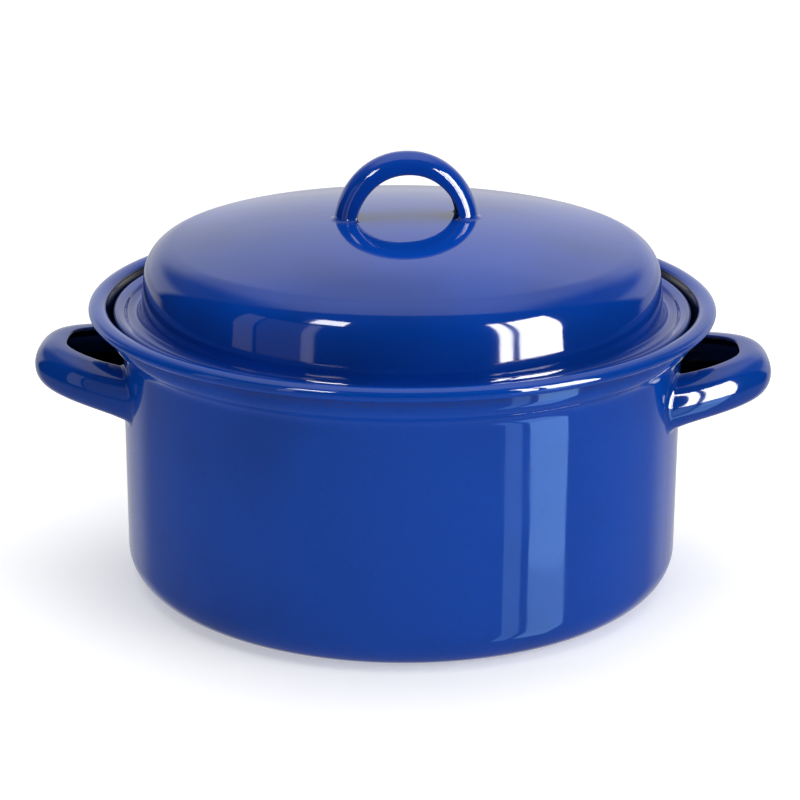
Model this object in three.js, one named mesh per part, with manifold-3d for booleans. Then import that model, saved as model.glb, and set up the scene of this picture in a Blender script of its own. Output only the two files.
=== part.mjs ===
// Enamelled steel casserole: a deep round pot with two loop handles and a lift-off lid with an arched handle.
// Millimetres, +Z up. The origin is the centre of the flat base, the side handles lie along X, the front is -Y.

import * as THREE from 'three';
import * as BufferGeometryUtils from 'three/addons/utils/BufferGeometryUtils.js';
import Module from 'manifold-3d';

const wasm = await Module();
wasm.setup();

// ---- driving dimensions ----

const SEGMENTS = 48;         // facets round every turned piece
const ARC_TOLERANCE = 0.08;  // how far a profile's facets stray from its arcs
const SHEET = 1.2;           // steel sheet with its enamel on both faces
const GAP = 0.3;             // clearance between pieces that meet

const pot = {
  radius: 121.5,        // outside of the straight wall
  cornerRadius: 15,     // between base and wall
  shoulderLow: 104,     // where the wall starts to flare out
  shoulderHigh: 115,    // where the neck is upright again
  neckRadius: 127.7,    // outside of the neck, which holds the lid's edge
  neckTop: 120.4,       // where the neck runs into the rolled rim
};

const rim = {
  centreRadius: 131.7,
  centreHeight: 122.4,
  halfWidth: 3.9,
  halfHeight: 2.9,
  startAngle: THREE.MathUtils.degToRad(218),  // under the bead, beside the neck
  endAngle: THREE.MathUtils.degToRad(535),    // over the bead, inside the neck
  steps: 11,
};

const lid = {
  apexHeight: 160.5,
  domeRadius: 499,
  domeSlope: 0.198,       // fall per millimetre where the dome meets the shoulder
  shoulderRadius: 16,
  wallDraft: 0.105,       // inward lean of the wall per millimetre of height
  gutterRadius: 113.7,    // foot of the steep wall, where a gutter runs round it
  gutterHeight: 117,
  gutterRound: 3.5,
  gutterSlope: THREE.MathUtils.degToRad(60),  // outer side of the gutter
  flangeRadius: 120.4,    // inner edge of the flange, which climbs a little to its outer edge
  flangeHeight: 121.4,
  flangeRound: 1.6,
  edgeRadius: 125,        // outside of the turned-down edge
  edgeHeight: 122.9,
  edgeRound: 1.7,
  skirtBottom: 111.8,     // lower end of the turned-down edge, which sits on the pot's shoulder
};

const sideHandle = {
  tip: 161.1,             // outermost point of the loop
  footHeight: 89.9,       // middle of the strap at the wall
  lean: THREE.MathUtils.degToRad(8.8),  // the loop rises towards its tip
  reach: 54.4,            // depth of the loop, from its tip to its ends inside the wall
  halfSpan: 49.15,
  roundness: 2.73,        // exponent of the loop's outline: 2 is a parabola
  footPinch: 2.5,         // the ends close in a little where they meet the wall
  pinchSharpness: 10,
  footSpread: 0.14,       // share by which the strap widens at the wall
  spreadReach: 5,         // distance from the wall over which that spread fades
  strapDepth: 12.8,
  strapHalfWidth: 10,
  fullness: 0.72,         // exponent of the strap's section: 1 is an ellipse
  thickness: 1.8,
  steps: 26,
};

const lidHandle = {
  turn: THREE.MathUtils.degToRad(8.3),  // the lid sits turned on its round seat
  offset: 1.5,            // the arch is welded a little to the right of the dome's centre
  halfSpan: 30.9,
  height: 29.1,           // from the dome's surface to the top of the arch
  spanExponent: 0.95,
  heightExponent: 1.15,
  sinkAngle: 0.18,        // how far the arch's ends go on below the dome before they are cut
  strapDepth: 8.9,
  strapHalfWidth: 7.9,
  fullness: 0.85,
  thickness: 1.6,
  steps: 22,
};

const SECTION_STEPS = 8;   // points along the outer and along the inner face of a handle's section

// ---- helpers ----

function enamel(name, color, roughness = 0.12) {
  const material = new THREE.MeshStandardMaterial({ color, roughness, metalness: 0 });
  material.name = name;
  return material;
}

// Points of an outline given by its corners { r, z, round }, each with its unit normal on the left.
function roundedOutline(corners) {
  const points = [];
  const at = (c) => new THREE.Vector2(c.r, c.z);
  const left = (v) => new THREE.Vector2(-v.y, v.x);
  corners.forEach((corner, i) => {
    const here = at(corner);
    const before = i > 0 ? here.clone().sub(at(corners[i - 1])).normalize() : null;
    const after = i < corners.length - 1 ? at(corners[i + 1]).sub(here).normalize() : null;
    if (!before || !after) {
      points.push({ point: here, normal: left(before || after) });
      return;
    }
    const turn = Math.atan2(before.cross(after), before.dot(after));
    const side = Math.sign(turn);
    const setback = corner.round * Math.tan(Math.abs(turn) / 2);
    const start = here.clone().addScaledVector(before, -setback);
    const centre = start.clone().addScaledVector(left(before), side * corner.round);
    const longestStep = 2 * Math.acos(1 - ARC_TOLERANCE / corner.round);
    const steps = Math.ceil(Math.abs(turn) / longestStep);
    for (let k = 0; k <= steps; k += 1) {
      const normal = left(before).rotateAround(new THREE.Vector2(), (turn * k) / steps);
      points.push({ point: centre.clone().addScaledVector(normal, -side * corner.round), normal });
    }
  });
  return points;
}

// A solid of revolution about Z from a closed profile of (radius, height) points.
function turned(profile) {
  const closed = [...profile];
  const onAxis = closed[0].x === 0 && closed[closed.length - 1].x === 0;
  if (!onAxis) closed.push(closed[0].clone());
  const geometry = new THREE.LatheGeometry(closed, SEGMENTS);
  geometry.rotateX(Math.PI / 2);
  return geometry;
}

function toManifold(geometry) {
  let clean = geometry.clone();
  clean.deleteAttribute('normal');
  clean.deleteAttribute('uv');
  clean = BufferGeometryUtils.mergeVertices(clean, 1e-4);
  const mesh = new wasm.Mesh({
    numProp: 3,
    vertProperties: new Float32Array(clean.attributes.position.array),
    triVerts: new Uint32Array(clean.index.array),
  });
  mesh.merge();
  return new wasm.Manifold(mesh);
}

function toGeometry(manifold) {
  const mesh = manifold.getMesh();
  const geometry = new THREE.BufferGeometry();
  geometry.setAttribute('position', new THREE.BufferAttribute(mesh.vertProperties, 3));
  geometry.setIndex(new THREE.BufferAttribute(mesh.triVerts, 1));
  geometry.computeVertexNormals();
  return geometry;
}

// Half-tube section of a handle strap. It is symmetric about y = 0 of the strap's width, its crest is at the
// origin and its two lips point along +y. Shape x runs across the strap and shape y into the loop.
function strapSection({ depth, halfWidth, fullness, thickness }) {
  const face = (inset) => {
    const points = [];
    for (let k = 0; k <= SECTION_STEPS; k += 1) {
      const angle = Math.PI * (k / SECTION_STEPS - 0.5);
      const along = Math.max(0, Math.cos(angle)) ** fullness;
      const across = (halfWidth - inset) * Math.sin(angle);
      points.push(new THREE.Vector2(across, depth - (depth - inset) * along));
    }
    return points;
  };
  return new THREE.Shape([...face(0), ...face(thickness).reverse()]);
}

// ---- pot ----

// Outer line of the pot's sheet, from the centre of the base to the top of the neck.
function potOutline() {
  const rise = pot.shoulderHigh - pot.shoulderLow;
  const step = pot.neckRadius - pot.radius;
  const bend = (rise * rise + step * step) / (4 * step);  // two equal arcs joined halfway
  const half = Math.asin(rise / (2 * bend));
  const setback = bend * Math.tan(half / 2);
  return [
    { r: 0, z: 0 },
    { r: pot.radius, z: 0, round: pot.cornerRadius },
    { r: pot.radius, z: pot.shoulderLow + setback, round: bend },
    { r: pot.neckRadius, z: pot.shoulderHigh - setback, round: bend },
    { r: pot.neckRadius, z: pot.neckTop },
  ];
}

function rimBead() {
  const points = [];
  for (let k = 0; k <= rim.steps; k += 1) {
    const angle = THREE.MathUtils.lerp(rim.startAngle, rim.endAngle, k / rim.steps);
    const r = rim.centreRadius + rim.halfWidth * Math.cos(angle);
    const z = rim.centreHeight + rim.halfHeight * Math.sin(angle);
    points.push(new THREE.Vector2(r, z));
  }
  return points;
}

function potBody() {
  const sheet = roundedOutline(potOutline());
  const outside = sheet.map(({ point }) => point);
  const inside = sheet.map(({ point, normal }) => point.clone().addScaledVector(normal, SHEET));
  return turned([...outside, ...rimBead(), ...inside.reverse()]);
}

// Plan curve of the loop's crest, from the front foot round the tip to the back foot.
class LoopCurve extends THREE.Curve {
  getPoint(t, target = new THREE.Vector3()) {
    const s = 2 * t - 1;
    const h = sideHandle;
    const x = h.tip - h.reach * Math.abs(s) ** h.roundness;
    const pinch = Math.sign(s) * h.footPinch * Math.abs(s) ** h.pinchSharpness;
    return target.set(x, h.halfSpan * s - pinch, 0);
  }
}

// Widens the flat-lying strap towards the wall, about its own mid-plane.
function spreadFeet(geometry) {
  const position = geometry.attributes.position;
  for (let i = 0; i < position.count; i += 1) {
    const clearance = Math.hypot(position.getX(i), position.getY(i)) - pot.radius;
    const share = sideHandle.footSpread * Math.exp(-Math.max(0, clearance) / sideHandle.spreadReach);
    position.setZ(i, position.getZ(i) * (1 + share));
  }
}

// The right-hand loop, cut to the wall. The left one is the same piece turned half round.
function loopHandle() {
  const section = strapSection({
    depth: sideHandle.strapDepth,
    halfWidth: sideHandle.strapHalfWidth,
    fullness: sideHandle.fullness,
    thickness: sideHandle.thickness,
  });
  const strap = new THREE.ExtrudeGeometry(section, { steps: sideHandle.steps, extrudePath: new LoopCurve() });
  spreadFeet(strap);
  strap.translate(-pot.radius, 0, 0);
  strap.rotateY(-sideHandle.lean);
  strap.translate(pot.radius, 0, sideHandle.footHeight);
  const wall = new THREE.CylinderGeometry(pot.radius + GAP, pot.radius + GAP, 2 * sideHandle.footHeight, SEGMENTS);
  wall.rotateX(Math.PI / 2);
  wall.translate(0, 0, sideHandle.footHeight);
  return toGeometry(toManifold(strap).subtract(toManifold(wall)));
}

// ---- lid ----

// Outer line of the lid's sheet, from the apex of the dome to the lower end of the turned-down edge.
function lidOutline() {
  const domeBend = (lid.domeRadius * Math.atan(lid.domeSlope)) / 2;
  const wallAt = (z) => lid.gutterRadius - (z - lid.gutterHeight) * lid.wallDraft;
  const drop = lid.domeSlope * (wallAt(lid.apexHeight) - domeBend);
  const shoulderHeight = lid.apexHeight - drop / (1 - lid.domeSlope * lid.wallDraft);
  const lean = 1 / Math.tan(lid.gutterSlope);
  const gutterBottom = (wallAt(0) - lid.flangeRadius + lid.flangeHeight * lean) / (lean + lid.wallDraft);
  return [
    { r: lid.edgeRadius, z: lid.skirtBottom },
    { r: lid.edgeRadius, z: lid.edgeHeight, round: lid.edgeRound },
    { r: lid.flangeRadius, z: lid.flangeHeight, round: lid.flangeRound },
    { r: wallAt(gutterBottom), z: gutterBottom, round: lid.gutterRound },
    { r: wallAt(shoulderHeight), z: shoulderHeight, round: lid.shoulderRadius },
    { r: domeBend, z: lid.apexHeight, round: lid.domeRadius },
    { r: 0, z: lid.apexHeight },
  ];
}

function lidShell() {
  const sheet = roundedOutline(lidOutline());
  const outside = sheet.map(({ point }) => point);
  const inside = sheet.map(({ point, normal }) => point.clone().addScaledVector(normal, SHEET));
  return turned([...inside.reverse(), ...outside]);
}

// Crest of the arch, from its left foot over the top to its right foot.
class ArchCurve extends THREE.Curve {
  getPoint(t, target = new THREE.Vector3()) {
    const h = lidHandle;
    const angle = THREE.MathUtils.lerp(Math.PI + h.sinkAngle, -h.sinkAngle, t);
    const signedPower = (value, exponent) => Math.sign(value) * Math.abs(value) ** exponent;
    const x = h.halfSpan * signedPower(Math.cos(angle), h.spanExponent);
    const z = h.height * signedPower(Math.sin(angle), h.heightExponent);
    return target.set(x, 0, z);
  }
}

// The arch, cut off a hair above the dome and turned with the lid.
function archHandle() {
  const section = strapSection({
    depth: lidHandle.strapDepth,
    halfWidth: lidHandle.strapHalfWidth,
    fullness: lidHandle.fullness,
    thickness: lidHandle.thickness,
  });
  const strap = new THREE.ExtrudeGeometry(section, { steps: lidHandle.steps, extrudePath: new ArchCurve() });
  const seat = lid.apexHeight - lidHandle.halfSpan ** 2 / (2 * lid.domeRadius);
  strap.rotateZ(lidHandle.turn);
  strap.translate(lidHandle.offset, 0, seat);
  const outside = roundedOutline(lidOutline()).map(({ point }) => point);
  const dome = turned([new THREE.Vector2(0, lid.skirtBottom), ...outside]);
  dome.translate(0, 0, GAP);
  return toGeometry(toManifold(strap).subtract(toManifold(dome)));
}

// ---- assembly ----

function piece(name, geometry, material) {
  const mesh = new THREE.Mesh(geometry, material);
  mesh.name = name;
  return mesh;
}

const group = new THREE.Group();

const potGroup = new THREE.Group();
potGroup.add(piece('pot_body', potBody(), enamel('pot_enamel', 0x1b469c)));
const rightHandle = piece('right_handle', loopHandle(), enamel('right_handle_enamel', 0x1a4394));
const leftHandle = piece('left_handle', loopHandle(), enamel('left_handle_enamel', 0x193f8e));
leftHandle.rotation.z = Math.PI;
potGroup.add(rightHandle, leftHandle);

const lidGroup = new THREE.Group();
lidGroup.add(piece('lid_shell', lidShell(), enamel('lid_enamel', 0x0f3a92)));
lidGroup.add(piece('lid_handle', archHandle(), enamel('lid_handle_enamel', 0x153c97)));

group.add(potGroup, lidGroup);

export default group;
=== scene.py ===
"""Enamelled steel casserole with a lift-off lid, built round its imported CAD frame.

Everything is in metres, +Z up, and the front is -Y."""

import math

import bmesh
import bpy
import numpy as np
from mathutils import Matrix, Vector


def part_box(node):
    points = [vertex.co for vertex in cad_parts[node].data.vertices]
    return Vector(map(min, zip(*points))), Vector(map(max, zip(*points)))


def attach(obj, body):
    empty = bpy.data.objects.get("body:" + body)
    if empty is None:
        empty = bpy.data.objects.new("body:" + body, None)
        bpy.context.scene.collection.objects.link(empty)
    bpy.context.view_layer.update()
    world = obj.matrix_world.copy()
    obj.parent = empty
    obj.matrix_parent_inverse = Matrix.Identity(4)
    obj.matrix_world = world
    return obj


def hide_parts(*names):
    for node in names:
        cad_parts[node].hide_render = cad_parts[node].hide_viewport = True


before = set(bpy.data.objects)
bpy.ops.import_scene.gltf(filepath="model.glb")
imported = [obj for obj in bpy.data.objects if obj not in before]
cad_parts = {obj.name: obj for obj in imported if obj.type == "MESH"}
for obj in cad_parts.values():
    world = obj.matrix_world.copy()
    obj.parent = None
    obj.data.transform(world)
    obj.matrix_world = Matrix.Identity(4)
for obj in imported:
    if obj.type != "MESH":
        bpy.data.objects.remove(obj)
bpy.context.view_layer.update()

MM = 0.001

# ---- dimensions, in metres, as in the CAD ----

SHEET = 1.2 * MM
POT_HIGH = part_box("pot_body")[1]
LID_LOW, LID_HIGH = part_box("lid_shell")

POT_RADIUS = 121.5 * MM
POT_CORNER = 15 * MM
SHOULDER_LOW, SHOULDER_HIGH = 104 * MM, 115 * MM
NECK_RADIUS = 127.7 * MM
RIM_HALF_WIDTH, RIM_HALF_HEIGHT = 3.9 * MM, 2.9 * MM
RIM_RADIUS = POT_HIGH.x - RIM_HALF_WIDTH
RIM_HEIGHT = POT_HIGH.z - RIM_HALF_HEIGHT

LID_APEX = LID_HIGH.z
LID_EDGE = LID_HIGH.x
LID_SKIRT = LID_LOW.z
DOME_RADIUS = 499 * MM
DOME_SLOPE = 0.198
LID_SHOULDER = 16 * MM
LID_WALL_DRAFT = 0.105
GUTTER_RADIUS, GUTTER_HEIGHT = 113.7 * MM, 117 * MM
GUTTER_ROUND = 3.5 * MM
GUTTER_LEAN = 1 / math.tan(math.radians(60))
FLANGE_RADIUS, FLANGE_HEIGHT = 120.4 * MM, 121.4 * MM
FLANGE_ROUND = 1.6 * MM
LID_EDGE_HEIGHT, LID_EDGE_ROUND = 122.9 * MM, 1.7 * MM

LOOP = {
    "tip": 161.1 * MM,             # from the pot's axis to the outermost point, along the leaning loop
    "foot_height": 89.9 * MM,      # of the strap's middle line at the wall
    "lean": math.radians(8.8),     # upwards from the wall
    "reach": 54.4 * MM,            # from the tip back to the ends of the path, inside the wall
    "half_span": 49.15 * MM,
    "roundness": 2.73,             # exponent of the path: higher is squarer
    "pinch": 2.5 * MM,             # the ends draw in by this much
    "pinch_sharpness": 10,
    "spread": 0.14,                # the strap is wider by this share at the wall
    "spread_reach": 5 * MM,        # the widening fades over this distance
}
LOOP_STRAP = {"depth": 12.8 * MM, "half_width": 10 * MM, "fullness": 0.72, "thickness": 1.8 * MM}

ARCH = {
    "turn": math.radians(8.3),     # of the lid on its seat
    "offset": 1.5 * MM,            # of the arch's middle from the axis, towards +X
    "half_span": 30.9 * MM,
    "height": 29.1 * MM,           # above the seat
    "span_exponent": 0.95,         # 1 and 1 make a plain half ellipse
    "height_exponent": 1.15,
    "sink": 0.18,                  # radians that the path goes on past its seat, into the dome
}
ARCH_STRAP = {"depth": 8.9 * MM, "half_width": 7.9 * MM, "fullness": 0.85, "thickness": 1.6 * MM}
ARCH_SEAT = LID_APEX - ARCH["half_span"] ** 2 / (2 * DOME_RADIUS)     # the dome's height at the arch's feet

# ---- details that only the visual model has ----

BASE_RECESS = 0.35 * MM            # the middle of the base stands this far off the table
RECESS_RADIUS, RECESS_FOOT = 88 * MM, 89.2 * MM
RECESS_ROUND = 2 * MM

RIM_SHEET_TOP = RIM_HEIGHT - 1.2 * MM     # the sheet runs into the rim's bead here
CREASE_LOW = RIM_HEIGHT - 1.9 * MM        # the crease where the curled edge meets the neck again
CREASE_CENTRE = (NECK_RADIUS + 0.45 * MM, RIM_HEIGHT - 1.75 * MM)
CREASE_RADIUS = 0.4 * MM
CURL_FROM, CURL_TO = 237, 535             # degrees round the bead, from the crease over the top and inwards

LOOP_FILLETS = (2.3 * MM, 1.2 * MM)       # radii of the enamel fillet outside and inside the half-tube
ARCH_FILLETS = (1.8 * MM, 1.0 * MM)
SINK = 0.03 * MM                   # a strap's foot reaches at most this far into what it stands on

# ---- fineness of the meshes ----

TURNS = 256            # facets round a turned piece
ARC_TOLERANCE = 0.004 * MM
LONGEST_ARC_STEP = math.radians(12)
LONGEST_STEP = 4 * MM  # along a profile
CREASE_STEPS = 8
CURL_STEPS = 60
HEM_STEPS = 8
STRAP_FACE = 44        # steps along each face of a strap's section
LIP_STEPS = 6          # steps over each half of a strap's lip
FILLET_STEPS = 12      # rows in the enamel fillet at a strap's foot
STRAP_ROWS = 56        # steps between a strap's two fillets
ON_AXIS = 1e-7         # a profile point this close to the axis lies on it


# ---- mesh helpers ----

def make_object(name, verts, faces, attributes=(), material=None):
    """A smooth-shaded mesh object. Attributes are (name, one value per vertex)."""
    mesh = bpy.data.meshes.new(name)
    mesh.from_pydata([tuple(v) for v in verts], [], faces)
    mesh.validate()
    for label, values in attributes:
        layer = mesh.attributes.new(label, "FLOAT", "POINT")
        layer.data.foreach_set("value", np.asarray(values, np.float32))
    work = bmesh.new()
    work.from_mesh(mesh)
    bmesh.ops.recalc_face_normals(work, faces=work.faces)
    work.to_mesh(mesh)
    work.free()
    mesh.shade_smooth()
    if material:
        mesh.materials.append(material)
    obj = bpy.data.objects.new(name, mesh)
    bpy.context.scene.collection.objects.link(obj)
    return obj


def arc(centre, radii, start, end, steps):
    """Points of an elliptic arc between two angles in degrees."""
    angle = np.radians(np.linspace(start, end, steps + 1))
    return np.array(centre) + np.array(radii) * np.column_stack([np.cos(angle), np.sin(angle)])


def rotated(a, b, angle):
    return a * math.cos(angle) - b * math.sin(angle), a * math.sin(angle) + b * math.cos(angle)


def left_of(direction):
    return np.array([-direction[1], direction[0]])


def unit_rows(vectors):
    """Each row at length 1, and rows without length left as they are."""
    smallest = 1e-9
    return vectors / np.maximum(np.linalg.norm(vectors, axis=1, keepdims=True), smallest)


def rounded_outline(corners):
    """Points and left-hand normals of an open outline of (radius, height, rounding) corners."""
    spots = [np.array(corner[:2]) for corner in corners]
    ways = [(b - a) / np.linalg.norm(b - a) for a, b in zip(spots[:-1], spots[1:])]
    points, normals = [spots[0]], [left_of(ways[0])]
    for spot, (_, _, radius), before, after in zip(spots[1:-1], corners[1:-1], ways[:-1], ways[1:]):
        turn = math.atan2(before[0] * after[1] - before[1] * after[0], before @ after)
        side = math.copysign(1, turn)
        setback = radius * math.tan(abs(turn) / 2)
        centre = spot - before * setback + left_of(before) * side * radius
        step = min(2 * math.acos(1 - ARC_TOLERANCE / radius), LONGEST_ARC_STEP)
        count = math.ceil(abs(turn) / step)
        for k in range(count + 1):
            normal = np.array(rotated(*left_of(before), turn * k / count))
            points.append(centre - normal * side * radius)
            normals.append(normal)
    points.append(spots[-1])
    normals.append(left_of(ways[-1]))
    return np.array(points), np.array(normals)


def filled_in(points, *columns):
    """The outline and its columns with extra rows, so that no step is longer than LONGEST_STEP."""
    stacked = np.column_stack([points, *columns])
    rows = [stacked[0]]
    for a, b in zip(stacked[:-1], stacked[1:]):
        count = max(1, math.ceil(np.linalg.norm(b[:2] - a[:2]) / LONGEST_STEP))
        rows += [a + (b - a) * k / count for k in range(1, count + 1)]
    rows = np.array(rows)
    return rows[:, :2], *rows[:, 2:].T


def turned(name, profile, attributes, material):
    """A solid of revolution from a profile. It closes on itself, or starts and ends on the axis."""
    angles = np.arange(TURNS) * 2 * math.pi / TURNS
    verts, faces, rings = [], [], []
    values = {label: [] for label, _ in attributes}
    for i, (r, z) in enumerate(profile):
        start = len(verts)
        if r < ON_AXIS:
            verts.append((0, 0, z))
            rings.append([start] * TURNS)
        else:
            verts += [(r * math.cos(a), r * math.sin(a), z) for a in angles]
            rings.append(list(range(start, start + TURNS)))
        for label, column in attributes:
            values[label] += [column[i]] * (len(verts) - start)
    pairs = list(zip(rings[:-1], rings[1:]))
    if profile[0][0] >= ON_AXIS:
        pairs.append((rings[-1], rings[0]))
    for a, b in pairs:
        for k in range(TURNS):
            m = (k + 1) % TURNS
            faces.append(tuple(dict.fromkeys([a[k], a[m], b[m], b[k]])))
    return make_object(name, verts, faces, list(values.items()), material)


def smoothstep(low, high, value):
    t = np.clip((value - low) / (high - low), 0, 1)
    return t * t * (3 - 2 * t)


# ---- strap handles ----

def strap_section(depth, half_width, fullness, thickness):
    """The half-tube's closed section: (across, depth) points, outward normals, and 1 on its hollow face.

    It starts at one lip's crown, goes over the crest to the other lip and comes back through the hollow,
    so that point j of the outer face lies opposite point -j of the hollow."""
    lip = thickness / 2
    fine = 4000                     # steps in which a face is measured before it is divided evenly

    def face(inset):
        angle = np.linspace(0, math.pi / 2, fine)
        across = (half_width - inset) * np.sin(angle)
        deep = (depth - lip) - (depth - lip - inset) * np.maximum(np.cos(angle), 0) ** fullness
        length = np.concatenate([[0], np.cumsum(np.hypot(np.diff(across), np.diff(deep)))])
        at = np.linspace(0, length[-1], STRAP_FACE // 2 + 1)
        half = np.column_stack([np.interp(at, length, across), np.interp(at, length, deep)])
        mirrored = half[:0:-1] * [-1, 1]
        return np.vstack([mirrored, half])[::-1]

    outer, inner = face(0), face(thickness)
    centre = np.array([half_width - lip, depth - lip])
    sweep = np.linspace(math.pi / 2, 0, LIP_STEPS + 1)[:-1]
    quarter = centre + lip * np.column_stack([np.cos(sweep), np.sin(sweep)])
    back = centre + lip * np.column_stack([-np.cos(sweep), np.sin(sweep)])
    flip = np.array([-1, 1])
    loop = np.vstack([
        quarter, outer, (quarter * flip)[:0:-1],
        quarter[:1] * flip, (back * flip)[1:], inner[::-1], back[:0:-1],
    ])
    tangent = unit_rows(np.roll(loop, -1, axis=0) - np.roll(loop, 1, axis=0))
    normal = np.column_stack([-tangent[:, 1], tangent[:, 0]])
    count = len(loop)
    hollow = np.zeros(count)
    hollow[count // 2 + 1:] = 1
    hollow[0] = hollow[count // 2] = 0.5
    return loop, normal, hollow


def fillet_radii(hollow, fillets):
    """The fillet's radius at each point of the section, eased from the outside to the hollow."""
    outside, inside = fillets
    radii = np.where(hollow > 0.5, inside, outside)
    radii = np.where(hollow == 0.5, (outside + inside) / 2, radii)
    for _ in range(3):
        radii = (np.roll(radii, 1) + 2 * radii + np.roll(radii, -1)) / 4
    return radii


def foot_rows(section, place, clearance, radii, side):
    """Path positions of the fillet's rows at one foot, for each section point, starting on the base."""
    loop, normals, _ = section
    nearest, fine = 0.45, 1500      # a foot lies past this share of the path, and is found in fine steps
    spots = np.linspace(nearest, 1, fine) * side
    points, _ = place(loop, normals, spots)
    height = clearance(points)
    angle = np.linspace(0, math.pi / 2, FILLET_STEPS + 1)
    rows = np.empty((len(angle), len(loop)))
    for j in range(len(loop)):
        down = np.minimum.accumulate(height[:, j])
        wanted = radii[j] * (1 - np.cos(angle))
        rows[:, j] = np.interp(-wanted, -down, spots)
    return rows


def strap_faces(rows, count):
    """Quads between neighbouring rows of the section, and both ends closed from lip to lip."""
    faces = [
        (i * count + j, i * count + (j + 1) % count, (i + 1) * count + (j + 1) % count, (i + 1) * count + j)
        for i in range(rows - 1)
        for j in range(count)
    ]
    for end in (0, rows - 1):
        for j in range(count // 2):
            ring = [end * count + k % count for k in (j, j + 1, count - j - 1, count - j)]
            ring = list(dict.fromkeys(ring))
            if len(ring) > 2:
                faces.append(tuple(ring if end else ring[::-1]))
    return faces


def strap(name, section, place, clearance, onto_base, fillets, material):
    """A strap swept between two feet on a base surface, with an enamel fillet where it meets it.

    place(section, normals, s) gives points and normals at the path positions s, from -1 to 1.
    clearance(points) is the distance from the base, and onto_base(points, normals, push, gap) moves
    points along the base by push, away from the metal, and leaves them that gap from it."""
    loop, normals, hollow = section
    radii = fillet_radii(hollow, fillets)
    first, last = (foot_rows(section, place, clearance, radii, side) for side in (-1, 1))
    share = np.linspace(0, 1, STRAP_ROWS + 1)[1:-1]
    crowding = 0.05                 # the rows stand closer together in the middle
    share = share + crowding * np.sin(2 * math.pi * share)
    middle = first[-1] + (last[-1] - first[-1]) * share[:, None]
    grid = np.vstack([first, middle, last[::-1]])
    verts = np.empty((*grid.shape, 3))
    for i, spots in enumerate(grid):
        points, outward = place(loop, normals, spots, paired=True)
        gap = clearance(points)
        inside = np.clip(gap, 0, radii)
        push = radii - np.sqrt(np.maximum(radii**2 - (radii - inside) ** 2, 0))
        push = np.where(gap < radii, push, 0)
        verts[i] = onto_base(points, outward, push, gap)
    lip_width = 0.55 * MM
    lip_line = np.exp(-((loop[:, 1].max() - loop[:, 1]) / lip_width) ** 2)
    attributes = [("ground", np.tile(hollow, len(grid))), ("brown_line", np.tile(lip_line, len(grid)))]
    return make_object(name, verts.reshape(-1, 3), strap_faces(*grid.shape), attributes, material)


def swept(u, v, out, loop, normals, paired):
    """The section on a flat path (u, v) with unit normals out: points and normals, as (u, v, across)."""
    if not paired:
        u, v, out = u[:, None], v[:, None], out[:, None, :]
    across, deep = loop[:, 0], loop[:, 1]
    pu = u - out[..., 0] * deep
    pv = v - out[..., 1] * deep
    nu = -out[..., 0] * normals[:, 1]
    nv = -out[..., 1] * normals[:, 1]
    return (pu, pv, across + 0 * pu), (nu, nv, normals[:, 0] + 0 * nu)


def loop_place(loop, normals, s, paired=False):
    """Points and normals of the right-hand loop handle at path positions s.

    Each position takes the whole section, or, when paired, the section point of its own number."""
    h = LOOP
    s = np.asarray(s)
    size = np.abs(s)
    x = h["tip"] - h["reach"] * size ** h["roundness"]
    y = h["half_span"] * s - np.sign(s) * h["pinch"] * size ** h["pinch_sharpness"]
    dx = -h["reach"] * h["roundness"] * size ** (h["roundness"] - 1) * np.sign(s)
    dy = h["half_span"] - h["pinch"] * h["pinch_sharpness"] * size ** (h["pinch_sharpness"] - 1)
    speed = np.hypot(dx, dy)
    out = np.stack([dy / speed, -dx / speed], axis=-1)
    (px, py, pz), (nx, ny, nz) = swept(x, y, out, loop, normals, paired)
    from_wall = np.maximum(0, np.hypot(px, py) - POT_RADIUS)
    pz = pz * (1 + h["spread"] * np.exp(-from_wall / h["spread_reach"]))
    px, pz = rotated(px - POT_RADIUS, pz, h["lean"])
    nx, nz = rotated(nx, nz, h["lean"])
    points = np.stack([px + POT_RADIUS, py, pz + h["foot_height"]], axis=-1)
    return points, np.stack([nx, ny, nz], axis=-1)


def wall_gap(points):
    return np.hypot(points[..., 0], points[..., 1]) - POT_RADIUS


def onto_wall(points, normals, push, gap):
    """Moves points along the wall, away from the metal, and leaves them as far from it as they were."""
    out = unit_rows(points * [1, 1, 0])
    along = unit_rows(normals - out * np.sum(normals * out, axis=1, keepdims=True))
    moved = points + along * push[:, None]
    radial = np.hypot(moved[:, 0], moved[:, 1])
    moved[:, :2] *= ((POT_RADIUS + np.maximum(gap, -SINK)) / radial)[:, None]
    return moved


def arch_crest(angle):
    """The arch's outer line, as (x, z) above its seat: a half ellipse with its corners drawn in or out."""
    def power(value, exponent):
        return np.sign(value) * np.abs(value) ** exponent

    return (ARCH["half_span"] * power(np.cos(angle), ARCH["span_exponent"]),
            ARCH["height"] * power(np.sin(angle), ARCH["height_exponent"]))


def arch_place(loop, normals, s, paired=False):
    """Points and normals of the lid's arch handle at path positions s, as in loop_place."""
    angle = math.pi / 2 - np.asarray(s) * (math.pi / 2 + ARCH["sink"])
    nudge = 1e-4
    x, z = arch_crest(angle)
    ahead, behind = arch_crest(angle - nudge), arch_crest(angle + nudge)
    dx, dz = ahead[0] - behind[0], ahead[1] - behind[1]
    speed = np.hypot(dx, dz)
    out = np.stack([-dz / speed, dx / speed], axis=-1)
    (px, pz, py), (nx, nz, ny) = swept(x, z, out, loop, normals, paired)
    px, py = rotated(px, py, ARCH["turn"])
    nx, ny = rotated(nx, ny, ARCH["turn"])
    points = np.stack([px + ARCH["offset"], py, pz + ARCH_SEAT], axis=-1)
    return points, np.stack([nx, ny, nz], axis=-1)


def dome_height(points):
    flat = points[..., 0] ** 2 + points[..., 1] ** 2
    return LID_APEX - DOME_RADIUS + np.sqrt(DOME_RADIUS**2 - flat)


def dome_gap(points):
    return points[..., 2] - dome_height(points)


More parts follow.
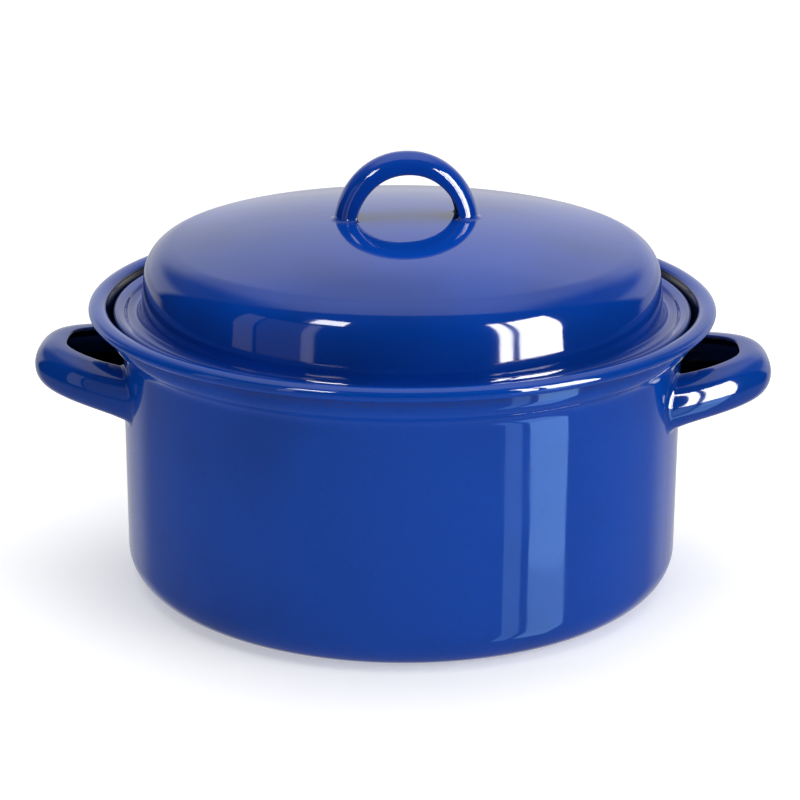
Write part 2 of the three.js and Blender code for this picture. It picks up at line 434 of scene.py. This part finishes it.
def onto_dome(points, normals, push, gap):
    """Moves points along the dome, away from the metal, and leaves them as high above it as they were."""
    moved = points + unit_rows(normals * [1, 1, 0]) * push[:, None]
    moved[:, 2] = dome_height(moved) + np.maximum(gap, -SINK)
    return moved


# ---- materials ----

class Graph:
    """A short way to add and link shader nodes."""

    def __init__(self, tree):
        self.tree = tree
        tree.nodes.clear()

    def fill(self, socket, value):
        if isinstance(value, bpy.types.NodeSocket):
            self.tree.links.new(value, socket)
        else:
            socket.default_value = value

    def add(self, kind, links=(), **settings):
        node = self.tree.nodes.new(kind)
        for key, value in settings.items():
            setattr(node, key, value)
        for socket, value in dict(links).items():
            self.fill(node.inputs[socket], value)
        return node

    def math(self, operation, a, b=0.0):
        return self.add("ShaderNodeMath", {0: a, 1: b}, operation=operation).outputs[0]

    def plus(self, a, b):
        return self.math("ADD", a, b)

    def minus(self, a, b):
        return self.math("SUBTRACT", a, b)

    def times(self, a, b):
        return self.math("MULTIPLY", a, b)

    def ramp(self, value, low, high, start=0.0, end=1.0):
        """Smoothly from start, where the value is low, to end, where it is high."""
        node = self.add(
            "ShaderNodeMapRange",
            {"Value": value, "From Min": low, "From Max": high, "To Min": start, "To Max": end},
            interpolation_type="SMOOTHSTEP",
        )
        return node.outputs[0]

    def mix(self, share, a, b):
        """Colour a where the share is 0, and colour b where it is 1."""
        return self.add("ShaderNodeMix", {0: share, 6: a, 7: b}, data_type="RGBA").outputs[2]

    def noise(self, where, scale, detail=2.0, roughness=0.5):
        node = self.add(
            "ShaderNodeTexNoise",
            {"Vector": where, "Scale": scale, "Detail": detail, "Roughness": roughness},
        )
        return node.outputs[0]

    def dots(self, where, scale, size, chance, channel):
        """Round dots, 1 inside and 0 outside, in the few cells of a pattern whose random channel is high.

        Size and chance are the two ends of a soft step, in the cell's distance and in its random value."""
        cells = self.add(
            "ShaderNodeTexVoronoi", {"Vector": where, "Scale": scale, "Randomness": 1.0}, feature="F1"
        )
        dot = self.ramp(cells.outputs["Distance"], *size)
        random = self.add("ShaderNodeSeparateColor", {0: cells.outputs["Color"]}).outputs[channel]
        return self.times(dot, self.ramp(random, *chance))

    def attribute(self, label):
        return self.add("ShaderNodeAttribute", attribute_name=label).outputs["Fac"]


DARK_MOTTLE = (0.004, 0.03, 0.22, 1)
GROUND_DARK = (0.0016, 0.0019, 0.0035, 1)
GROUND_LIGHT = (0.0042, 0.0046, 0.0075, 1)
GROUND_SPECK = (0.11, 0.12, 0.14, 1)
EDGE_AND_SHADE_BROWN = (0.055, 0.034, 0.016, 1)     # brown where the enamel is thin on sheet edges and lips, and painted shade in the crease under the rim
ENAMEL_IOR = 1.5
BUMP_DEPTH = 0.35 * MM


def cover_coat(g, where, mottle, cover):
    """The blue coat: clouds of a slightly darker and lighter blue, and a fine dark mottle."""
    darker, lighter = 0.80, 1.16
    deep = tuple(c * darker for c in cover) + (1,)
    light = tuple(min(1, c * lighter) for c in cover) + (1,)
    cloud = g.noise(where, scale=9.0, detail=3.0)
    blue = g.mix(g.ramp(cloud, 0.35, 0.65), deep, light)
    return g.mix(g.times(g.ramp(mottle, 0.52, 0.80), 0.20), blue, DARK_MOTTLE)


def ground_coat(g, where, mottle):
    """The near-black coat, with sparse grey specks."""
    black = g.mix(g.ramp(mottle, 0.3, 0.7), GROUND_DARK, GROUND_LIGHT)
    speck = g.dots(where, scale=330.0, size=(0.16, 0.10), chance=(0.93, 0.95), channel=0)
    return g.mix(g.times(speck, 0.5), black, GROUND_SPECK)


def surface_relief(g, where, wave):
    """Slow waves of the pressed sheet, fine orange peel and a few pinholes."""
    sway = g.noise(where, scale=26.0, detail=1.0)
    peel = g.noise(where, scale=240.0, detail=1.0)
    pit = g.dots(where, scale=95.0, size=(0.075, 0.02), chance=(0.955, 0.96), channel=1)
    height = g.plus(g.times(sway, wave), g.times(peel, 0.010))
    height = g.minus(height, g.times(pit, 0.03))
    return g.add("ShaderNodeBump", {"Height": height, "Strength": 1.0, "Distance": BUMP_DEPTH}).outputs[0]


def enamel(name, cover, seed, wave=0.35):
    """Glossy vitreous enamel: a blue cover coat over a near-black ground coat, thin along sheet edges.

    It reads two attributes of the mesh: ground is 1 where only the ground coat lies, and the other is 1 on
    brown lines along edges, and on painted shade in the crease under the pot's rim."""
    material = bpy.data.materials.new(name)
    material.use_nodes = True
    g = Graph(material.node_tree)
    coords = g.add("ShaderNodeTexCoord").outputs["Object"]
    shift = (seed, 2 * seed, 3 * seed)
    where = g.add("ShaderNodeMapping", {"Vector": coords, "Location": shift}).outputs[0]
    mottle = g.noise(where, scale=420.0, detail=2.0)
    ragged = g.noise(where, scale=260.0, detail=3.0, roughness=0.6)
    smear = g.noise(where, scale=34.0, detail=4.0, roughness=0.6)

    ground = g.plus(g.attribute("ground"), g.times(g.minus(ragged, 0.5), 0.5))
    ground = g.ramp(ground, 0.44, 0.56)
    brown_line = g.times(g.attribute("brown_line"), g.ramp(ragged, 0.25, 0.60))
    colour = g.mix(ground, cover_coat(g, where, mottle, cover), ground_coat(g, where, mottle))
    colour = g.mix(g.times(brown_line, 0.75), colour, EDGE_AND_SHADE_BROWN)

    # A high gloss with faint smears, a little duller on the ground coat, on the brown lines along edges and
    # in the painted crease shade, and in the mottle.
    rough = g.ramp(smear, 0.30, 0.75, 0.030, 0.085)
    rough = g.plus(rough, g.times(ground, 0.05))
    rough = g.plus(rough, g.times(brown_line, 0.12))
    rough = g.plus(rough, g.times(g.ramp(mottle, 0.55, 0.8), 0.02))

    shader = g.add("ShaderNodeBsdfPrincipled", {
        "Base Color": colour,
        "Roughness": rough,
        "Normal": surface_relief(g, where, wave),
        "IOR": ENAMEL_IOR,
        "Metallic": 0.0,
    })
    g.add("ShaderNodeOutputMaterial", {"Surface": shader.outputs[0]})
    return material


pot_enamel = enamel("pot_enamel", cover=(0.0015, 0.054, 0.37), seed=0.3)
loop_enamel = enamel("side_handle_enamel", cover=(0.0015, 0.050, 0.34), seed=1.7, wave=0.2)
lid_enamel = enamel("lid_enamel", cover=(0.0015, 0.050, 0.37), seed=3.1)
arch_enamel = enamel("lid_handle_enamel", cover=(0.0015, 0.050, 0.37), seed=4.9, wave=0.2)


# ---- pot ----

def pot_profile():
    """Outer face, curled rim and inner face, with 1 where only the ground coat lies and 1 on thin edges and
    on the painted shade in the crease under the rim.
    """
    rise, step = SHOULDER_HIGH - SHOULDER_LOW, NECK_RADIUS - POT_RADIUS
    bend = (rise**2 + step**2) / (4 * step)
    setback = bend * math.tan(math.asin(rise / (2 * bend)) / 2)
    sheet, normals = rounded_outline([
        (0, BASE_RECESS, 0),
        (RECESS_RADIUS, BASE_RECESS, RECESS_ROUND),
        (RECESS_FOOT, 0, RECESS_ROUND),
        (POT_RADIUS, 0, POT_CORNER),
        (POT_RADIUS, SHOULDER_LOW + setback, bend),
        (NECK_RADIUS, SHOULDER_HIGH - setback, bend),
        (NECK_RADIUS, RIM_SHEET_TOP, 0),
    ])
    outer = sheet[:-1]
    crease = np.vstack([
        (NECK_RADIUS, CREASE_LOW),
        arc(CREASE_CENTRE, (CREASE_RADIUS, CREASE_RADIUS), 180, 0, CREASE_STEPS),
    ])
    bead = arc((RIM_RADIUS, RIM_HEIGHT), (RIM_HALF_WIDTH, RIM_HALF_HEIGHT), CURL_FROM, CURL_TO, CURL_STEPS)
    inner = (sheet + normals * SHEET)[::-1]

    # Only the ground coat lies under the base and inside, from where the bead turns down.
    base_from, base_all, corner_top = 112 * MM, 106 * MM, 20 * MM
    inside_from, inside_all = 505, 530
    round_bead = np.linspace(CURL_FROM, CURL_TO, CURL_STEPS + 1)
    under = smoothstep(base_from, base_all, outer[:, 0]) * (outer[:, 1] < corner_top)
    inwards = smoothstep(inside_from, inside_all, round_bead)
    ground = np.concatenate([under, np.zeros(len(crease)), inwards, np.ones(len(inner))])

    # The crease under the bead is painted brown as painted shade, and the enamel is thin on the sheet's own
    # edge beside it.
    crease_shade, edge_thin, edge_at, edge_reach = 0.7, 0.9, 240, 8
    edge = edge_thin * np.exp(-((round_bead - edge_at) / edge_reach) ** 2)
    creased = np.full(len(crease), crease_shade)
    brown_line = np.concatenate([np.zeros(len(outer)), creased, edge, np.zeros(len(inner))])
    return np.vstack([outer, crease, bead, inner]), ground, brown_line


profile, ground, brown_line = filled_in(*pot_profile())
pot = turned("pot", profile, [("ground", ground), ("brown_line", brown_line)], pot_enamel)
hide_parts("pot_body")
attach(pot, "pot")

right_loop = strap("handle_right", strap_section(**LOOP_STRAP), loop_place, wall_gap, onto_wall,
                   LOOP_FILLETS, loop_enamel)
left_loop = bpy.data.objects.new("handle_left", right_loop.data.copy())
left_loop.data.transform(Matrix.Rotation(math.pi, 4, "Z"))
bpy.context.scene.collection.objects.link(left_loop)
for piece, node in ((right_loop, "right_handle"), (left_loop, "left_handle")):
    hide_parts(node)
    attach(piece, "pot")


# ---- lid ----

def lid_profile():
    """Inner face from the apex to the skirt's lower edge, and the outer face back, with the same columns."""
    def wall_at(height):
        return GUTTER_RADIUS - (height - GUTTER_HEIGHT) * LID_WALL_DRAFT

    bend = DOME_RADIUS * math.atan(DOME_SLOPE) / 2
    drop = DOME_SLOPE * (wall_at(LID_APEX) - bend)
    shoulder = LID_APEX - drop / (1 - DOME_SLOPE * LID_WALL_DRAFT)
    gutter = (wall_at(0) - FLANGE_RADIUS + FLANGE_HEIGHT * GUTTER_LEAN) / (GUTTER_LEAN + LID_WALL_DRAFT)
    outer, normals = rounded_outline([
        (LID_EDGE, LID_SKIRT + SHEET / 2, 0),
        (LID_EDGE, LID_EDGE_HEIGHT, LID_EDGE_ROUND),
        (FLANGE_RADIUS, FLANGE_HEIGHT, FLANGE_ROUND),
        (wall_at(gutter), gutter, GUTTER_ROUND),
        (wall_at(shoulder), shoulder, LID_SHOULDER),
        (bend, LID_APEX, DOME_RADIUS),
        (0, LID_APEX, 0),
    ])
    inner = (outer + normals * SHEET)[::-1]
    hem_centre = (LID_EDGE - SHEET / 2, LID_SKIRT + SHEET / 2)
    hem = arc(hem_centre, (SHEET / 2, SHEET / 2), 180, 360, HEM_STEPS)[1:-1]
    before = len(inner) + len(hem)

    # Only the ground coat lies inside, over the hem and up the lower part of the skirt.
    skirt_blue_from, skirt_depth = FLANGE_HEIGHT - 3.4 * MM, 0.1 * MM
    bare = (outer[:, 1] < skirt_blue_from) & (outer[:, 0] > LID_EDGE - skirt_depth)
    ground = np.concatenate([np.ones(before), bare])

    # A brown line runs along the crown of the turned-down edge.
    crown_radius, crown_reach, crown_low = LID_EDGE - 1.35 * MM, 0.28 * MM, FLANGE_HEIGHT - 1.4 * MM
    crown = np.exp(-((outer[:, 0] - crown_radius) / crown_reach) ** 2) * (outer[:, 1] > crown_low)
    brown_line = np.concatenate([np.zeros(before), crown])
    return np.vstack([inner, hem, outer]), ground, brown_line


profile, ground, brown_line = filled_in(*lid_profile())
lid = turned("lid", profile, [("ground", ground), ("brown_line", brown_line)], lid_enamel)
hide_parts("lid_shell")
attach(lid, "lid")

arch = strap("handle_lid", strap_section(**ARCH_STRAP), arch_place, dome_gap, onto_dome,
             ARCH_FILLETS, arch_enamel)
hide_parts("lid_handle")
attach(arch, "lid")


# ---- stage ----

FLOOR_HALF = 6.0
FLOOR_DROP = 0.05 * MM             # keeps the floor just clear of the base


def studio_floor():
    """Pale paper that goes over into plain white with distance, so that its far edge never shows."""
    material = bpy.data.materials.new("floor_paper")
    material.use_nodes = True
    g = Graph(material.node_tree)
    where = g.add("ShaderNodeTexCoord").outputs["Object"]
    distance = g.add("ShaderNodeVectorMath", {0: where}, operation="LENGTH").outputs["Value"]
    away = g.ramp(distance, 0.5, 1.8)
    paper = g.mix(g.noise(where, scale=3.0), (0.88, 0.88, 0.88, 1), (0.90, 0.90, 0.90, 1))
    shade = g.mix(away, paper, (0.15, 0.15, 0.15, 1))
    seen = g.add("ShaderNodeLightPath").outputs["Is Camera Ray"]
    near = g.plus(g.times(seen, 0.24), 0.18)
    shader = g.add("ShaderNodeBsdfPrincipled", {
        "Base Color": shade,
        "Roughness": 0.9,
        "Specular IOR Level": 0.0,
        "Emission Color": (1, 1, 1, 1),
        "Emission Strength": g.plus(g.times(away, 0.55), near),
    })
    g.add("ShaderNodeOutputMaterial", {"Surface": shader.outputs[0]})
    corners = [(x * FLOOR_HALF, y * FLOOR_HALF, 0) for x, y in ((-1, -1), (1, -1), (1, 1), (-1, 1))]
    floor = make_object("floor", corners, [(0, 1, 2, 3)], material=material)
    floor.location.z = -FLOOR_DROP
    floor.visible_glossy = False


def studio_world():
    """White to the eye, and to the enamel a white sweep behind and above, a dim room and a grey table."""
    world = bpy.data.worlds.new("studio")
    bpy.context.scene.world = world
    world.use_nodes = True
    g = Graph(world.node_tree)
    x, y, z = g.add("ShaderNodeSeparateXYZ", {0: g.add("ShaderNodeTexCoord").outputs["Generated"]}).outputs

    # The sweep lies behind a plane that leans over to the front, and is dimmer at both sides. It is bright
    # low down, duller half-way up and brightest overhead. The dim room is what is left in front of it.
    sweep_lean, sweep_start, sides_dimmer = 0.76, 0.54, 0.8
    behind = g.plus(y, g.minus(g.times(z, sweep_lean), sweep_start))
    sides = g.times(g.ramp(g.math("ABSOLUTE", x), 0.40, 0.70), g.ramp(z, 0.15, 0.35))
    sweep = g.times(g.ramp(behind, -0.05, 0.07), g.minus(1.0, g.times(sides, sides_dimmer)))
    glow = g.plus(g.ramp(z, 0.47, 0.60, 0.82, 0.62), g.ramp(z, 0.64, 0.98, 0.0, 0.50))
    room = g.ramp(z, 0.62, 0.80, 0.012, 0.05)
    upper = g.plus(g.times(sweep, glow), g.times(g.minus(1.0, sweep), room))

    # The table starts lower down at the front than at the back, and is lighter at the back.
    front_drop, table_glow, back_glow = 0.18, 0.26, 0.34
    back = g.ramp(y, 0.50, 0.74)
    depth = g.plus(z, g.times(g.minus(1.0, back), front_drop))
    below = g.ramp(depth, -0.02, -0.14)
    table = g.times(below, g.plus(g.times(back, back_glow), table_glow))

    reflected = g.plus(g.times(upper, g.minus(1.0, below)), table)
    seen = g.add("ShaderNodeLightPath").outputs["Is Camera Ray"]
    strength = g.add("ShaderNodeMix", {0: seen, 2: reflected, 3: 1.0}, data_type="FLOAT").outputs[0]
    background = g.add("ShaderNodeBackground", {"Color": (1, 1, 1, 1), "Strength": strength})
    g.add("ShaderNodeOutputWorld", {"Surface": background.outputs[0]})


# ---- light ----

WHITE = (1, 1, 1)
SKY = (0.30, 0.58, 1.0)
SILL = -0.13                       # a window's lower edge, where its image on the table begins
WINDOW_DISTANCE = 1.3
CEILING_HEIGHT = 1.5
POT_MIDDLE = 70 * MM

# What the enamel mirrors: azimuth in degrees from the front towards +X, low, high, width, radiance, tint.
MIRRORED = {
    "window_pane_a": (44.4, SILL, 1.05, 0.126, 26, WHITE),
    "window_pane_b": (60.5, SILL, 1.05, 0.467, 26, WHITE),
    "window_on_table_a": (45.4, -1.1, SILL, 0.164, 1.8, SKY),
    "window_on_table_b": (60.7, -1.1, -0.45, 0.38, 3.4, SKY),
    "window_on_table_c": (60.7, -0.45, SILL, 0.38, 5.0, SKY),
    "window_left": (-66.8, -0.05, 0.90, 0.23, 0.62, WHITE),
    "window_left_dim": (-50, SILL, 0.90, 0.45, 0.25, WHITE),
    "window_left_bar": (-36.7, -0.10, 0.90, 0.126, 1.5, WHITE),
    "window_left_top": (-33.6, 1.07, 1.60, 0.38, 20, WHITE),
}


def area_light(name, width, height, radiance, tint=WHITE):
    """A rectangular light that the camera doesn't see. Its brightness doesn't depend on its size."""
    data = bpy.data.lights.new(name, "AREA")
    data.shape = "RECTANGLE"
    data.size, data.size_y = width, height
    data.energy = radiance * math.pi * width * height
    data.color = tint
    obj = bpy.data.objects.new(name, data)
    obj.visible_camera = False
    bpy.context.scene.collection.objects.link(obj)
    return obj


def panel(name, azimuth, distance, low, high, width, radiance, tint=WHITE, aim=None):
    """A panel that faces the pot's axis, upright or turned to a height on it."""
    obj = area_light(name, width, high - low, radiance, tint)
    a = math.radians(azimuth)
    middle = (low + high) / 2
    obj.location = Vector((math.sin(a) * distance, -math.cos(a) * distance, middle))
    target = Vector((0, 0, middle if aim is None else aim))
    obj.rotation_mode = "QUATERNION"
    obj.rotation_quaternion = (obj.location - target).to_track_quat("Z", "Y")
    return obj


def studio_lights():
    """Panels that only show as reflections, and soft lights that never do."""
    for name, (azimuth, low, high, width, radiance, tint) in MIRRORED.items():
        mirrored = panel(name, azimuth, WINDOW_DISTANCE, low, high, width, radiance, tint)
        mirrored.visible_diffuse = False
    key = panel("key", 62, distance=1.3, low=0.10, high=1.10, width=0.9, radiance=3.0, aim=POT_MIDDLE)
    fill = panel("fill", -30, distance=1.5, low=0.20, high=1.20, width=1.2, radiance=0.8, aim=POT_MIDDLE)
    ceiling = area_light("ceiling", width=1.6, height=1.6, radiance=1.3)
    ceiling.location.z = CEILING_HEIGHT
    for soft in (key, fill, ceiling):
        soft.visible_glossy = False


# ---- camera ----

CAMERA_TURN = math.radians(1.83)   # the pot stands turned by this to the camera
CAMERA_PLACE = Vector((0, -1.0118, 0.4117))
CAMERA_TARGET = Vector((-0.0008, 0, 0.0768))
CAMERA_ROLL = math.radians(0.269)
CAMERA_SENSOR, CAMERA_LENS = 36, 108.74


def studio_camera():
    data = bpy.data.cameras.new("camera")
    data.sensor_width = CAMERA_SENSOR
    data.lens = CAMERA_LENS
    obj = bpy.data.objects.new("camera", data)
    turn = Matrix.Rotation(CAMERA_TURN, 4, "Z")
    place, target = turn @ CAMERA_PLACE, turn @ CAMERA_TARGET
    obj.location = place
    obj.rotation_mode = "QUATERNION"
    roll = Matrix.Rotation(CAMERA_ROLL, 3, "Z").to_quaternion()
    obj.rotation_quaternion = (target - place).to_track_quat("-Z", "Y") @ roll
    bpy.context.scene.collection.objects.link(obj)
    bpy.context.scene.camera = obj


studio_floor()
studio_world()
studio_lights()
studio_camera()
bpy.context.scene.view_settings.view_transform = "Standard"
